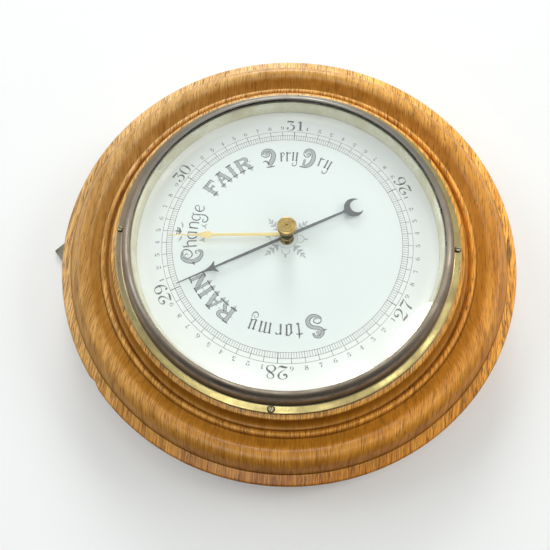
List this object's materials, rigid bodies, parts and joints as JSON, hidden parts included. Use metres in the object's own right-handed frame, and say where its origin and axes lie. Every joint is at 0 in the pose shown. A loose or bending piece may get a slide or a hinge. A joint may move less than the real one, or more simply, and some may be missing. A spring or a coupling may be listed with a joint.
{
  "type": "round oak-cased aneroid wall barometer",
  "caption": "Round aneroid wall barometer: turned oak case, brass bezel, white ceramic dial with indicating hand and knob-set marker hand, capsule movement behind.",
  "frame": {"origin": "centre of the case's flat back, on the dial axis, where it lies against the wall", "axes": "+Z along the dial axis out of the front, +Y to the top of the dial (12 o'clock, the hanging plate), +X to 3 o'clock"},
  "size_m": [0.3, 0.3226, 0.0635],
  "materials": {
    "golden_oak": "satin varnish over open-grained oak",
    "aged_brass": "lacquered, yellow-green with age",
    "bright_brass": "polished and worn",
    "tarnished_brass": "dull brown-grey tarnish",
    "silvered_brass": "silvered, satin",
    "gilt_brass": "bright gilt",
    "white_glaze": "glossy white glaze with black printing",
    "clear_glass": "clear, thin green edge",
    "blued_steel": "blued nearly black",
    "steel": "bright, plain",
    "german_silver": "pressed nickel-silver sheet",
    "cast_iron": "black japanned"
  },
  "bodies": {
    "case": {"oak_case": "golden_oak", "hanger_plate": "tarnished_brass", "hanger_screw_left": "tarnished_brass", "hanger_screw_right": "tarnished_brass", "bezel": "aged_brass", "bezel_screw_top": "aged_brass", "bezel_screw_right": "aged_brass", "bezel_screw_bottom": "aged_brass", "bezel_screw_left": "aged_brass", "sight_ring": "silvered_brass", "glass": "clear_glass", "glass_washer_lower": "tarnished_brass", "glass_washer_upper": "tarnished_brass", "dial": "white_glaze", "movement_drum": "tarnished_brass", "dial_tray": "aged_brass", "dial_pillar_1": "aged_brass", "dial_pillar_2": "aged_brass", "dial_pillar_3": "aged_brass", "base_plate": "aged_brass", "base_screw_1": "steel", "base_screw_2": "steel", "base_screw_3": "steel", "vacuum_capsule": "german_silver", "bridge": "cast_iron", "spring_clamp": "aged_brass", "clamp_screw_1": "steel", "clamp_screw_2": "steel", "rocker_bearing_rear": "aged_brass", "rocker_bearing_front": "aged_brass", "upper_plate": "aged_brass", "movement_pillar_1": "aged_brass", "movement_pillar_2": "aged_brass", "movement_pillar_3": "aged_brass", "arbor_cock": "aged_brass", "cock_screw": "steel", "hairspring": "blued_steel", "hairspring_stud": "aged_brass"},
    "hand": {"hand_arbor": "steel", "hairspring_collet": "aged_brass", "hand_collet": "blued_steel", "indicating_hand": "blued_steel"},
    "lever": {"main_spring": "blued_steel", "main_lever": "steel"},
    "rocker": {"rocking_arbor": "steel"},
    "link": {"connecting_link": "aged_brass"},
    "post": {"capsule_post": "steel"},
    "chain": {"fusee_chain": "steel"},
    "setter": {"set_knob": "bright_brass", "set_spindle": "tarnished_brass", "set_hand_nut": "tarnished_brass", "set_hand": "gilt_brass"},
    "adjuster": {"adjusting_screw": "steel"}
  },
  "joints": [
    {"name": "hand_turn", "type": "hinge", "parent": "case", "child": "hand", "pos_m": [0, 0, 0.0473], "axis": [0, 0, -1], "range_deg": [-181.2, 177.6]},
    {"name": "lever_swing", "type": "hinge", "parent": "case", "child": "lever", "pos_m": [-0.02, -0.012, 0.02925], "axis": [0, 1, 0], "range_deg": [-2.8, 2.8]},
    {"name": "rocker_turn", "type": "hinge", "parent": "case", "child": "rocker", "pos_m": [0.044, -0.005, 0.024], "axis": [0, -1, 0], "range_deg": [-26.5, 26.5]},
    {"name": "link_slide", "type": "slide", "parent": "case", "child": "link", "axis": [0, 0, -1], "range_m": [-0.00275, 0.00275]},
    {"name": "post_slide", "type": "slide", "parent": "case", "child": "post", "axis": [0, 0, -1], "range_m": [-0.00096, 0.00096], "deforming": ["vacuum_capsule"]},
    {"name": "chain_slide", "type": "slide", "parent": "case", "child": "chain", "axis": [-1, 0, 0], "range_m": [-0.00445, 0.00445]},
    {"name": "set_turn", "type": "hinge", "parent": "case", "child": "setter", "pos_m": [0, 0, 0.05], "axis": [0, 0, -1], "continuous": true},
    {"name": "adjust_turn", "type": "hinge", "parent": "case", "child": "adjuster", "pos_m": [-0.034, -0.012, 0.004], "axis": [0, 0, 1], "range_deg": [-180, 180]}
  ],
  "couplings": [
    {"joint": "lever_swing", "follows": "hand_turn", "ratio": 0.015},
    {"joint": "rocker_turn", "follows": "hand_turn", "ratio": 0.1444},
    {"joint": "link_slide", "follows": "hand_turn", "m_per_rad": 0.00086},
    {"joint": "post_slide", "follows": "hand_turn", "m_per_rad": 0.0003},
    {"joint": "chain_slide", "follows": "hand_turn", "m_per_rad": 0.0014}
  ]
}
